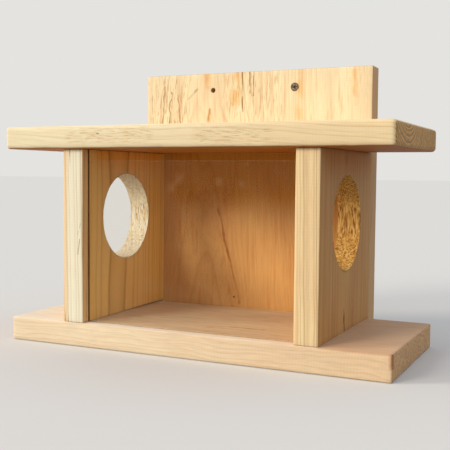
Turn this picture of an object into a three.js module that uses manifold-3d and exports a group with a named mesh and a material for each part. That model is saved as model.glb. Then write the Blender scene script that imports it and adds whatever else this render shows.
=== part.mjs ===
// Squirrel feeder house of cedar boards: a long floor and a long roof with two
// bored side walls between them, a tall back board, and a clear pane that slides in grooves.
// Millimetres, +Z up, front towards -Y. The origin is the middle of the floor board's underside.

import * as THREE from "three";
import { mergeVertices } from "three/addons/utils/BufferGeometryUtils.js";
import Module from "manifold-3d";

const wasm = await Module();
wasm.setup();

// Floor and roof boards, grain along X
const floorLength = 326;
const floorThickness = 19.8;
const floorEase = 2.5;
const roofLength = 328;
const roofThickness = 18.6;
const roofEase = 3;
const roofOverhang = 6.5;

// Side walls, grain along Z, as deep as the floor board
const wallDepth = 133.5;
const wallHeight = 141.3;
const wallThickness = 19;
const houseWidth = 219.8;

// Back board, grain along Z, from the floor's underside to above the roof
const backThickness = 19;
const backRise = 54.8;
const sawnArris = 0.8;

// Round entry bored through each side wall
const entryDiameter = 73.6;
const entrySill = 48.1;

// Clear pane, its grooves and the room above it
const paneThickness = 2;
const paneHeadroom = 9.3;
const paneEndGap = 0.5;
const grooveInset = 7.7;
const grooveDepth = 5;

// Countersunk wood screws with a cross recess
const screwLength = 38;
const screwShankDiameter = 3.9;
const screwHeadDiameter = 7.4;
const screwHeadHeight = 2.4;
const screwRimHeight = 0.4;
const screwPointLength = 6;
const screwSink = 0.5;
const recessSpan = 4;
const recessSlot = 1;
const recessDepth = 1.7;

// Where the screws go in
const wallScrewInset = 22;
const backScrewInset = 35;
const edgeScrewSpacing = 120;
const mountingHoleSpacing = 80;
const mountingHoleDrop = 15.5;
const mountingHoleDiameter = 4.8;

// Fits, overrun of the cutters and the distance at which vertices are welded
const fitGap = 0.3;
const overrun = 2;
const weldDistance = 0.0001;

// How finely the curves are cut
const entrySegments = 64;
const screwSegments = 12;
const easeSegments = 3;
const easedCornerSegments = 3;
const sawnCornerSegments = 1;

// A plan corner is a little rounder than the long arrises that meet in it
const cornerShare = 1.25;

// Places that follow from the sizes
const wallOuterX = houseWidth / 2;
const wallInnerX = wallOuterX - wallThickness;
const wallMiddleX = wallOuterX - wallThickness / 2;
const frontY = -wallDepth / 2;
const backFrontY = wallDepth / 2;
const backRearY = backFrontY + backThickness;
const floorTopZ = floorThickness;
const roofUndersideZ = floorTopZ + wallHeight;
const roofTopZ = roofUndersideZ + roofThickness;
const backHeight = roofTopZ + backRise;
const roofDepth = wallDepth + roofOverhang;
const entryCentreZ = floorTopZ + entrySill + entryDiameter / 2;
const grooveWidth = paneThickness + 2 * fitGap;
const grooveMiddleY = frontY + grooveInset + grooveWidth / 2;
const paneWidth = 2 * (wallInnerX + grooveDepth - paneEndGap);
const paneHeight = wallHeight - paneHeadroom;
const mountingHoleX = mountingHoleSpacing / 2;
const mountingHoleZ = backHeight - mountingHoleDrop;

// Outward directions of the faces that the screws are driven from
const upward = new THREE.Vector3(0, 0, 1);
const downward = new THREE.Vector3(0, 0, -1);
const rearward = new THREE.Vector3(0, 1, 0);
const frontward = new THREE.Vector3(0, -1, 0);

const sides = [
  { name: "left", sign: -1 },
  { name: "right", sign: 1 },
];
const ends = [
  { name: "front", sign: -1 },
  { name: "rear", sign: 1 },
];

// Materials
const roofCedar = finish(0xe6c38e, 0.72, 0);
const floorCedar = finish(0xd9b07c, 0.74, 0);
const wallCedar = finish(0xd0a068, 0.76, 0);
const backCedar = finish(0xd6a870, 0.72, 0);
const zincSteel = finish(0x8d8b86, 0.38, 0.9);
const clearAcrylic = finish(0xf2f4f1, 0.08, 0);
clearAcrylic.transparent = true;
clearAcrylic.opacity = 0.22;

function finish(color, roughness, metalness) {
  return new THREE.MeshStandardMaterial({ color, roughness, metalness });
}

// A closed geometry as a solid that can be cut
function solidOf(geometry) {
  const bare = geometry.clone();
  bare.deleteAttribute("normal");
  bare.deleteAttribute("uv");
  const welded = mergeVertices(bare, weldDistance);
  return new wasm.Manifold(
    new wasm.Mesh({
      numProp: 3,
      vertProperties: welded.getAttribute("position").array,
      triVerts: new Uint32Array(welded.index.array),
    }),
  );
}

// A solid back as a geometry with flat normals
function geometryOf(solid) {
  const { vertProperties, triVerts } = solid.getMesh();
  const indexed = new THREE.BufferGeometry();
  indexed.setAttribute("position", new THREE.BufferAttribute(vertProperties, 3));
  indexed.setIndex(new THREE.BufferAttribute(triVerts, 1));
  const faceted = indexed.toNonIndexed();
  faceted.computeVertexNormals();
  return faceted;
}

// The body without every cutter in the list
function cut(body, cutters) {
  let solid = solidOf(body);
  for (const cutter of cutters) solid = solid.subtract(solidOf(cutter));
  return geometryOf(solid);
}

function roundedRectangle(width, height, radius) {
  const x = width / 2 - radius;
  const y = height / 2 - radius;
  const quarter = Math.PI / 2;
  const corners = [[x, y], [-x, y], [-x, -y], [x, -y]];
  const shape = new THREE.Shape();
  corners.forEach(([cornerX, cornerY], turn) => {
    shape.absarc(cornerX, cornerY, radius, turn * quarter, (turn + 1) * quarter);
  });
  return shape;
}

// A board lying flat, its underside at zero height, with every arris eased
function easedBoard(length, depth, thickness, ease, cornerSegments) {
  const outline = roundedRectangle(length, depth, ease * cornerShare);
  const board = new THREE.ExtrudeGeometry(outline, {
    depth: thickness - 2 * ease,
    bevelThickness: ease,
    bevelSize: ease,
    bevelOffset: -ease,
    bevelSegments: easeSegments,
    curveSegments: cornerSegments,
  });
  return board.translate(0, 0, ease);
}

// A screw's outline from its point to the middle of its head, whose top is at zero height
function screwOutline(gap, top) {
  const shank = screwShankDiameter / 2 + gap;
  const head = screwHeadDiameter / 2 + gap;
  return [
    new THREE.Vector2(0, -screwLength - gap),
    new THREE.Vector2(shank, screwPointLength - screwLength),
    new THREE.Vector2(shank, -screwHeadHeight),
    new THREE.Vector2(head, -screwRimHeight),
    new THREE.Vector2(head, top),
    new THREE.Vector2(0, top),
  ];
}

function turned(outline) {
  return new THREE.LatheGeometry(outline, screwSegments).rotateX(Math.PI / 2);
}

function screwGeometry() {
  const slots = [0, Math.PI / 2].map((turn) =>
    new THREE.BoxGeometry(recessSpan, recessSlot, 2 * recessDepth).rotateZ(turn),
  );
  return cut(turned(screwOutline(0, 0)), slots);
}

const screwShape = screwGeometry();
const screwHoleShape = turned(screwOutline(fitGap, overrun));

// A screw whose head sits just below the face at this place, facing outward
function screwAt(name, x, y, z, outward) {
  const mesh = new THREE.Mesh(screwShape, zincSteel);
  mesh.name = name;
  mesh.position.set(x, y, z).addScaledVector(outward, -screwSink);
  mesh.quaternion.setFromUnitVectors(upward, outward);
  mesh.updateMatrix();
  return mesh;
}

function allScrews() {
  const list = [];
  const rowY = wallDepth / 2 - wallScrewInset;
  const levels = [
    { name: "lower", z: floorTopZ + backScrewInset },
    { name: "upper", z: roofUndersideZ - backScrewInset },
  ];
  for (const side of sides) {
    const x = side.sign * wallMiddleX;
    for (const end of ends) {
      const place = `${side.name}_${end.name}`;
      list.push(screwAt(`roof_screw_${place}`, x, end.sign * rowY, roofTopZ, upward));
      list.push(screwAt(`floor_screw_${place}`, x, end.sign * rowY, 0, downward));
    }
    for (const level of levels) {
      list.push(screwAt(`back_screw_${side.name}_${level.name}`, x, backRearY, level.z, rearward));
    }
    const edgeX = side.sign * edgeScrewSpacing / 2;
    const floorEdgeZ = floorThickness / 2;
    const roofEdgeZ = roofUndersideZ + roofThickness / 2;
    list.push(screwAt(`floor_edge_screw_${side.name}`, edgeX, backRearY, floorEdgeZ, rearward));
    list.push(screwAt(`roof_edge_screw_${side.name}`, edgeX, backRearY, roofEdgeZ, rearward));
  }
  list.push(screwAt("mounting_screw", mountingHoleX, backFrontY, mountingHoleZ, frontward));
  return list;
}

const screws = allScrews();
const screwHoles = screws.map((screw) => screwHoleShape.clone().applyMatrix4(screw.matrix));

function boardMesh(name, body, cutters, material) {
  const mesh = new THREE.Mesh(cut(body, [...cutters, ...screwHoles]), material);
  mesh.name = name;
  return mesh;
}

function floorBoard() {
  const body = easedBoard(floorLength, wallDepth, floorThickness, floorEase, easedCornerSegments);
  return boardMesh("floor_board", body, [], floorCedar);
}

function roofBoard() {
  const body = easedBoard(roofLength, roofDepth, roofThickness, roofEase, easedCornerSegments);
  body.translate(0, -roofOverhang / 2, roofUndersideZ);
  return boardMesh("roof_board", body, [], roofCedar);
}

// The two bores near its top each take a screw that holds the house up
function backBoard() {
  const body = easedBoard(houseWidth, backHeight, backThickness, sawnArris, sawnCornerSegments);
  body.rotateX(Math.PI / 2).translate(0, backRearY, backHeight / 2);
  const radius = mountingHoleDiameter / 2;
  const bores = sides.map((side) =>
    new THREE.CylinderGeometry(radius, radius, backThickness + 2 * overrun, screwSegments)
      .translate(side.sign * mountingHoleX, backFrontY + backThickness / 2, mountingHoleZ),
  );
  return boardMesh("back_board", body, bores, backCedar);
}

// A side wall with its round entry and the pane's groove in its inner face
function sideWall(side) {
  const outline = roundedRectangle(wallThickness, wallDepth, sawnArris);
  const body = new THREE.ExtrudeGeometry(outline, {
    depth: wallHeight,
    bevelEnabled: false,
    curveSegments: sawnCornerSegments,
  }).translate(side.sign * wallMiddleX, 0, floorTopZ);
  const radius = entryDiameter / 2;
  const entry = new THREE.CylinderGeometry(radius, radius, wallThickness + 2 * overrun, entrySegments)
    .rotateZ(Math.PI / 2)
    .translate(side.sign * wallMiddleX, 0, entryCentreZ);
  const cutDepth = grooveDepth + overrun;
  const groove = new THREE.BoxGeometry(cutDepth, grooveWidth, wallHeight + 2 * overrun).translate(
    side.sign * (wallInnerX + grooveDepth - cutDepth / 2),
    grooveMiddleY,
    floorTopZ + wallHeight / 2,
  );
  return boardMesh(`${side.name}_side_wall`, body, [entry, groove], wallCedar);
}

// The pane stands on the floor, and the room above it lets it slide up in its grooves
function frontPane() {
  const mesh = new THREE.Mesh(new THREE.BoxGeometry(paneWidth, paneThickness, paneHeight), clearAcrylic);
  mesh.position.set(0, grooveMiddleY, floorTopZ + paneHeight / 2);
  mesh.name = "front_pane";
  return mesh;
}

const feederHouse = new THREE.Group();
feederHouse.add(floorBoard(), ...sides.map(sideWall), backBoard(), roofBoard(), frontPane(), ...screws);

export default feederHouse;
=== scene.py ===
"""Looks of a cedar squirrel feeder house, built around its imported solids.

The boards are dressed cedar with worn arrises, torn bores and countersunk screws, and a
clear acrylic pane stands in the grooves of the side walls. Sizes are in millimetres, and
everything is scaled to metres where it enters Blender.
"""

from __future__ import annotations

import logging
import math
from dataclasses import dataclass, field
from enum import Enum
from functools import partial
from typing import Callable, Iterable, NamedTuple

import bmesh
import bpy
from bmesh.types import BMesh, BMVert
from bpy.types import Material, Mesh, Node, NodeSocket, NodeTree, Object
from mathutils import Matrix, Vector, noise


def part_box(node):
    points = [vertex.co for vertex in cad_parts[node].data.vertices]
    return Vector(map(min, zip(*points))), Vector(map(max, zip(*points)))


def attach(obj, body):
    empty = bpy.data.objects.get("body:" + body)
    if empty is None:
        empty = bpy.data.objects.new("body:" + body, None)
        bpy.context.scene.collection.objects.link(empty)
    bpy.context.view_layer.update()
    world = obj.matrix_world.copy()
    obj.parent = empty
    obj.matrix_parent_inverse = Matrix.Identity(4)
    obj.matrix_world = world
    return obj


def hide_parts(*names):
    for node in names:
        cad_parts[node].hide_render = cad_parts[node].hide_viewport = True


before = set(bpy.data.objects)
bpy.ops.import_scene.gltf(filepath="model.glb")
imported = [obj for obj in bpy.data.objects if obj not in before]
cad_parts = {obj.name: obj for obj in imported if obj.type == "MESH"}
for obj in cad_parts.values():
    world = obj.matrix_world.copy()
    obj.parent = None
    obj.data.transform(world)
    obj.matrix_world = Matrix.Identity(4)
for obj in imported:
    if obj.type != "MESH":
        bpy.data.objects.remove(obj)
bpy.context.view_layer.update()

LOG = logging.getLogger("squirrel_feeder")
SENSOR_WIDTH = 36  # of the camera, in millimetres
NEAREST_SEEN = 0.01  # by the camera, in metres
MM = 0.001
TO_MM = (1 / MM,) * 3

Point = tuple[float, float, float]
Colour = tuple[float, float, float, float]
AddNode = Callable[..., Node]

# kinds of node and their settings
MATH = "ShaderNodeMath"
VECTOR = "ShaderNodeVectorMath"
NOISE = "ShaderNodeTexNoise"
RANGE = "ShaderNodeMapRange"
RAMP = "ShaderNodeValToRGB"
MIX = "ShaderNodeMix"
BLEND = {"data_type": "RGBA"}
TINT = {"data_type": "RGBA", "blend_type": "MULTIPLY"}
SMOOTH = {"interpolation_type": "SMOOTHSTEP"}
PLUS = {"operation": "ADD"}
MINUS = {"operation": "SUBTRACT"}
TIMES = {"operation": "MULTIPLY"}
TIMES_PLUS = {"operation": "MULTIPLY_ADD"}
SIZE_OF = {"operation": "ABSOLUTE"}
HIGHER = {"operation": "MAXIMUM"}
LENGTH = {"operation": "LENGTH"}
DOT = {"operation": "DOT_PRODUCT"}
SCALED = {"operation": "SCALE"}

# geometry in millimetres
OVERRUN = 2.0  # how far a cutter sticks out of the board
MERGE = 1e-4  # points nearer than this are one
RUB_SIZE = 26  # size of a rubbed part of an arris
NICK_SIZE = 5.5  # size of a nick in an arris
PLANE_SIZE = 75  # size of an unevenly planed part of a face
PLANE_DEPTH = 0.1  # how deep that goes
SPLIT_TIP = 0.12  # width of a drying split at its tip, as a share of its mouth
SPLIT_BOTTOM = 0.15  # width at its bottom, as a share of that at the face
SPLIT_BEND = 0.35  # how far it bends
SPLIT_WAVE = 5  # length of a bend
FRONT_EDGE = -66.75  # front of the floor and of the side walls
BACK_FACE = 66.75  # front face of the back board

# how high the wood's patterns stand, in millimetres
RING_RELIEF = 0.05
FIBRE_RELIEF = 0.16
PORE_RELIEF = 0.5
TEAR_DEPTH = 0.35
TUFT_HEIGHT = 2.2

# sizes of patterns in millimetres; real torn fibre is finer, which the render can't show
DRIFT_SIZE = 14.3
KNOT_GRIT = 0.91
TORN_FIBRE = 1.33
TORN_KNOB = 1.61
STREAK_STRAY = 6  # how far a streak strays at a sway of 1

# how squarely a face must look a way to count, from not at all to wholly
FACING = (0.55, 0.92)
# how far round the bore its torn fibre still reaches, from wholly to not at all
LIP = (0.45, 1.0)
# where late wood lies in a ring, as (place, share)
LATE_WOOD = ((0.0, 0.3), (0.1, 0.0), (0.6, 0.05), (0.82, 0.45), (0.93, 1.0), (1.0, 0.3))
# where the four colours of torn fibre lie, from the deepest tear to the tips; dark in the tears and pale at
# the tips, partly the fibre's own colour and partly painted shade and painted highlight
TORN_PLACES = (0.36, 0.44, 0.53, 0.63)
KNOT_BROWN = "#4A2410"


class Body(Enum):
    """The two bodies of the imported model."""

    HOUSE = "house"
    PANE = "pane"


class Axis(Enum):
    """The frame's axes, as indices."""

    X = 0
    Y = 1
    Z = 2


def srgb(code: str) -> Colour:
    """Turns an sRGB hex colour to linear light.

    Args:
        code: six hex digits after a hash.

    Returns:
        Linear red, green and blue, with an alpha of 1.
    """
    parts = [int(code[i : i + 2], 16) / 255 for i in (1, 3, 5)]
    linear = [c / 12.92 if c <= 0.04045 else ((c + 0.055) / 1.055) ** 2.4 for c in parts]
    return (*linear, 1.0)


def add_node(
    tree: NodeTree,
    kind: str,
    settings: dict[str, object] | None = None,
    inputs: dict[int | str, object] | None = None,
) -> Node:
    """Adds a node, sets it and links its inputs.

    Args:
        tree: the node tree of a material or of the world.
        kind: the node's type.
        settings: its own options by name; "stops" holds a ramp's (place, colour) pairs.
        inputs: its inputs by name, or by number among those in use. A value is a plain
            value, a socket, or a node, whose first output in use is then linked.

    Returns:
        The new node.
    """
    node = tree.nodes.new(kind)
    for name, value in (settings or {}).items():
        if name != "stops":
            setattr(node, name, value)
            continue
        elements = node.color_ramp.elements
        while len(elements) < len(value):
            elements.new(1.0)
        for element, (place, colour) in zip(elements, value):
            element.position = place
            element.color = colour
    in_use = [s for s in node.inputs if not s.is_unavailable]
    for key, value in (inputs or {}).items():
        socket = in_use[key] if isinstance(key, int) else next(s for s in in_use if s.name == key)
        if isinstance(value, Node):
            value = next(s for s in value.outputs if not s.is_unavailable)
        if isinstance(value, NodeSocket):
            tree.links.new(value, socket)
        else:
            socket.default_value = value
    return node


def new_material(name: str) -> tuple[Material, AddNode]:
    """Makes an empty node material.

    Args:
        name: the material's name.

    Returns:
        The material, and add_node bound to its tree.
    """
    material = bpy.data.materials.new(name)
    material.use_nodes = True
    material.node_tree.nodes.clear()
    return material, partial(add_node, material.node_tree)


def soft_step(x: float, low: float, high: float) -> float:
    """A smooth step from 0 at low to 1 at high.

    Args:
        x: where to read the step.
        low: where it starts.
        high: where it ends.

    Returns:
        The step's height, from 0 to 1.
    """
    t = min(1.0, max(0.0, (x - low) / (high - low)))
    return t * t * (3 - 2 * t)


def box_of(node: str) -> tuple[Vector, Vector]:
    """The lowest and highest corners of a CAD node in millimetres."""
    low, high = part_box(node)
    return Vector(low) / MM, Vector(high) / MM


def solid_box(low: Vector, high: Vector) -> BMesh:
    """A plain box between two corners.

    Args:
        low: the lowest corner.
        high: the highest corner.

    Returns:
        The box as a closed mesh.
    """
    bm = bmesh.new()
    bmesh.ops.create_cube(bm, size=1.0)
    bmesh.ops.scale(bm, vec=high - low, verts=bm.verts)
    bmesh.ops.translate(bm, vec=(high + low) / 2, verts=bm.verts)
    return bm


def eased_box(low: Vector, high: Vector, ease: float, segments: int) -> BMesh:
    """A box with rounded edges.

    Args:
        low: the lowest corner.
        high: the highest corner.
        ease: how far the edges are rounded.
        segments: segments of the rounding.

    Returns:
        The box as a closed mesh.
    """
    bm = solid_box(low, high)
    bmesh.ops.bevel(
        bm,
        geom=bm.edges[:],
        offset=ease,
        offset_type="OFFSET",
        segments=segments,
        profile=0.5,
        affect="EDGES",
        material=-1,
    )
    return bm


def aimed(way: Vector) -> Matrix:
    """A turn that takes Z to another way."""
    return Vector((0, 0, 1)).rotation_difference(way).to_matrix().to_4x4()


def slice_evenly(bm: BMesh, axis: Axis, cell: float) -> None:
    """Cuts a mesh into even slices, so that its surface can be worn.

    Args:
        bm: the mesh, changed in place.
        axis: the axis across which it is sliced.
        cell: about how thick a slice is.
    """
    places = [v.co[axis.value] for v in bm.verts]
    low, high = min(places), max(places)
    count = max(1, round((high - low) / cell))
    normal = Vector([float(axis.value == i) for i in range(3)])
    for step in range(1, count):
        level = low + (high - low) * step / count
        bmesh.ops.bisect_plane(
            bm,
            geom=bm.verts[:] + bm.edges[:] + bm.faces[:],
            dist=MERGE,
            plane_co=normal * level,
            plane_no=normal,
        )


def as_mesh(bm: BMesh, name: str) -> Mesh:
    """Scales a mesh in millimetres to metres and frees it.

    Args:
        bm: the mesh in millimetres.
        name: the new mesh's name.

    Returns:
        The mesh in metres.
    """
    bmesh.ops.scale(bm, vec=(MM, MM, MM), verts=bm.verts)
    mesh = bpy.data.meshes.new(name)
    bm.to_mesh(mesh)
    bm.free()
    return mesh


def joined(parts: Iterable[BMesh]) -> BMesh:
    """Puts several closed shells that don't touch into one mesh.

    Args:
        parts: the shells, which are freed.

    Returns:
        One mesh with all of them.
    """
    whole = bmesh.new()
    for part in parts:
        carried = bpy.data.meshes.new("carried")
        part.to_mesh(carried)
        part.free()
        whole.from_mesh(carried)
        bpy.data.meshes.remove(carried)
    return whole


def carved(stock: BMesh, cutters: Iterable[BMesh], name: str) -> Mesh:
    """Cuts tools that don't touch each other out of a piece of stock.

    Args:
        stock: the stock in millimetres, which is freed.
        cutters: closed shells in millimetres, which are freed.
        name: the new mesh's name.

    Returns:
        The carved mesh in metres.
    """
    scene = bpy.context.scene
    stock_piece = bpy.data.objects.new("stock", as_mesh(stock, "stock"))
    tool = bpy.data.objects.new("tool", as_mesh(joined(cutters), "tool"))
    for each in (stock_piece, tool):
        scene.collection.objects.link(each)
    cut = stock_piece.modifiers.new("cut", "BOOLEAN")
    cut.operation = "DIFFERENCE"
    cut.solver = "MANIFOLD"
    cut.object = tool
    evaluated = stock_piece.evaluated_get(bpy.context.evaluated_depsgraph_get())
    mesh = bpy.data.meshes.new_from_object(evaluated)
    mesh.name = name
    for each in (stock_piece, tool):
        spare = each.data
        bpy.data.objects.remove(each)
        bpy.data.meshes.remove(spare)
    return mesh


def finish_piece(
    name: str, mesh: Mesh, material: Material, body: Body, node: str, sharp: float
) -> Object:
    """Turns a mesh into a finished piece that stands for a CAD node.

    Args:
        name: the piece's name.
        mesh: its mesh in metres, in place.
        material: its finish.
        body: the body that it rides on.
        node: the CAD node that it replaces.
        sharp: the angle in degrees from which an edge is drawn sharp.

    Returns:
        The piece.
    """
    mesh.name = name
    mesh.materials.clear()
    mesh.materials.append(material)
    mesh.shade_smooth()
    mesh.set_sharp_from_angle(angle=math.radians(sharp))
    piece = bpy.data.objects.new(name, mesh)
    bpy.context.scene.collection.objects.link(piece)
    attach(piece, body.value)
    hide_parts(node)
    LOG.info("%s: %d faces on %s", name, len(mesh.polygons), body.value)
    return piece


@dataclass(frozen=True)
class PaintedFaceShading:
    """Painted shading on the faces of a board that look one way, tinted for how the light falls on them.

    Attributes:
        towards: the way such a face looks.
        colour: what its wood is multiplied by.
    """

    towards: Point
    colour: str


@dataclass(frozen=True)
class Patch:
    """A part of a board with a colour of its own, or with painted shade, such as inside the box.

    Attributes:
        middle: its middle.
        half: half its size.
        colour: what its wood is multiplied by.
        soft: how wide its edge is.
    """

    middle: Point
    half: Point
    colour: str
    soft: float = 5.0


@dataclass(frozen=True)
class Fray(Patch):
    """A part of a board where the planer tore the grain. Its colour is that of the tears.

    Attributes:
        across: width of a tear.
        along: its length along the grain.
    """

    across: float = 1.2
    along: float = 14.0


@dataclass(frozen=True)
class Knot:
    """A pin knot or pitch fleck, with the rings pushed round it.

    Attributes:
        at: its centre on the board.
        weigh: how much a millimetre counts along each axis. 0 lets the knot run through,
            and less than 1 draws it out.
        radius: its radius.
        pull: how far it pushes the rings.
        reach: how far out the rings are pushed.
        dark: how dark it is, from 0 to 1.
    """

    at: Point
    weigh: Point
    radius: float
    pull: float = 1.5
    reach: float = 6.0
    dark: float = 0.9


@dataclass(frozen=True)
class Streak:
    """A resin vein, mineral line or single tear that runs from one point to another.

    Attributes:
        start: where it starts.
        end: where it ends.
        width: half its width.
        colour: what its wood is multiplied by.
        sway: how far it strays from the straight line.
        face: the axis that its face looks along.
    """

    start: Point
    end: Point
    width: float
    colour: str
    sway: float = 1.0
    face: Axis = Axis.Y


@dataclass(frozen=True)
class Bore:
    """The torn wall of an entry bored along X.

    Attributes:
        y: its centre's place along Y.
        z: its centre's height.
        radius: its radius.
    """

    y: float
    z: float
    radius: float


ENTRY = Bore(y=0.0, z=104.7, radius=36.8)


class Grain(Enum):
    """Patterns of the wood: width and length of a mark, and octaves of finer noise.

    Real fibres and pores are a tenth as thick, which the render can't show.
    """

    FIBRES = (0.7, 16, 3)
    PORES = (1.9, 1.9, 4)
    BENDS = (55, 150, 2)
    WOBBLES = (7, 45, 2)
    BLOTCHES = (26, 85, 3)
    RESIN = (3.2, 130, 3)


class Surface(NamedTuple):
    """A surface under way.

    Attributes:
        colour: its colour.
        height: its height in millimetres.
    """

    colour: Node
    height: Node


class Bench:
    """A material under way, with the points and masks that the finishes share.

    Attributes:
        material: the material.
        add: adds a node to it.
        place: its texture coordinates.
        here: the point on the piece in millimetres.
    """

    def __init__(self, name: str) -> None:
        """Starts the material.

        Args:
            name: its name.
        """
        self.material, self.add = new_material(name)
        self.place = self.add("ShaderNodeTexCoord")
        self.here = self.add(VECTOR, SCALED, {"Vector": self.place.outputs["Object"], "Scale": 1 / MM})

    def way_from(self, point: Point, weigh: Point) -> tuple[Node, NodeSocket]:
        """The way from a point to here.

        Args:
            point: the point.
            weigh: how much a millimetre counts along each axis.

        Returns:
            The weighed way, and its length.
        """
        away = self.add(VECTOR, MINUS, {0: self.here, 1: point})
        way = self.add(VECTOR, TIMES, {0: away, 1: weigh})
        return way, self.add(VECTOR, LENGTH, {0: way}).outputs["Value"]

    def facing(self, way: Point, both_ways: bool = False) -> Node:
        """1 on faces that look one way and 0 on the others.

        Args:
            way: the way such a face looks.
            both_ways: if faces that look the other way count too.

        Returns:
            The mask.
        """
        unit = Vector(way).normalized()
        level = self.add(VECTOR, DOT, {0: self.place.outputs["Normal"], 1: unit}).outputs["Value"]
        if both_ways:
            level = self.add(MATH, SIZE_OF, {0: level})
        none, whole = FACING
        return self.add(RANGE, SMOOTH, {"Value": level, "From Min": none, "From Max": whole})

    def within(self, patch: Patch) -> Node:
        """1 within a patch and 0 outside it.

        Args:
            patch: the patch.

        Returns:
            The mask.
        """
        away = self.add(VECTOR, MINUS, {0: self.here, 1: patch.middle})
        away = self.add(VECTOR, SIZE_OF, {0: away})
        inner = tuple(h - patch.soft for h in patch.half)
        mask = self.add(
            RANGE,
            {"data_type": "FLOAT_VECTOR"},
            {
                "Vector": away,
                "From Min": inner,
                "From Max": patch.half,
                "To Min": (1, 1, 1),
                "To Max": (0, 0, 0),
            },
        )
        split = self.add("ShaderNodeSeparateXYZ", inputs={0: mask})
        flat = self.add(MATH, TIMES, {0: split.outputs["X"], 1: split.outputs["Y"]})
        return self.add(MATH, TIMES, {0: flat, 1: split.outputs["Z"]})

    def along(self, drift: Node, streak: Streak) -> Node:
        """1 on a streak and 0 away from it.

        Args:
            drift: coarse noise, by which the streak strays and fades.
            streak: the streak.

        Returns:
            The mask.
        """
        add = self.add
        start, end = Vector(streak.start), Vector(streak.end)
        unit = (end - start).normalized()
        sway = Vector([0.0 if axis is streak.face else STREAK_STRAY * streak.sway for axis in Axis])
        stray = add(VECTOR, TIMES, {0: drift.outputs["Color"], 1: sway})
        away = add(VECTOR, PLUS, {0: self.here, 1: stray})
        away = add(VECTOR, MINUS, {0: away, 1: start + sway / 2})
        far = add(VECTOR, DOT, {0: away, 1: unit}).outputs["Value"]
        length = (end - start).length
        far = add(RANGE, inputs={"Value": far, "From Max": length, "To Max": length})
        nearest = add(VECTOR, SCALED, {"Vector": tuple(unit), "Scale": far})
        away = add(VECTOR, MINUS, {0: away, 1: nearest})
        distance = add(VECTOR, LENGTH, {0: away}).outputs["Value"]
        mask = add(
            RANGE,
            SMOOTH,
            {"Value": distance, "From Min": 0.0, "From Max": streak.width, "To Min": 1.0, "To Max": 0.0},
        )
        fading = add(RANGE, inputs={"Value": drift, "From Min": 0.38, "From Max": 0.55, "To Min": 0.25})
        return add(MATH, TIMES, {0: mask, 1: fading})


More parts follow.
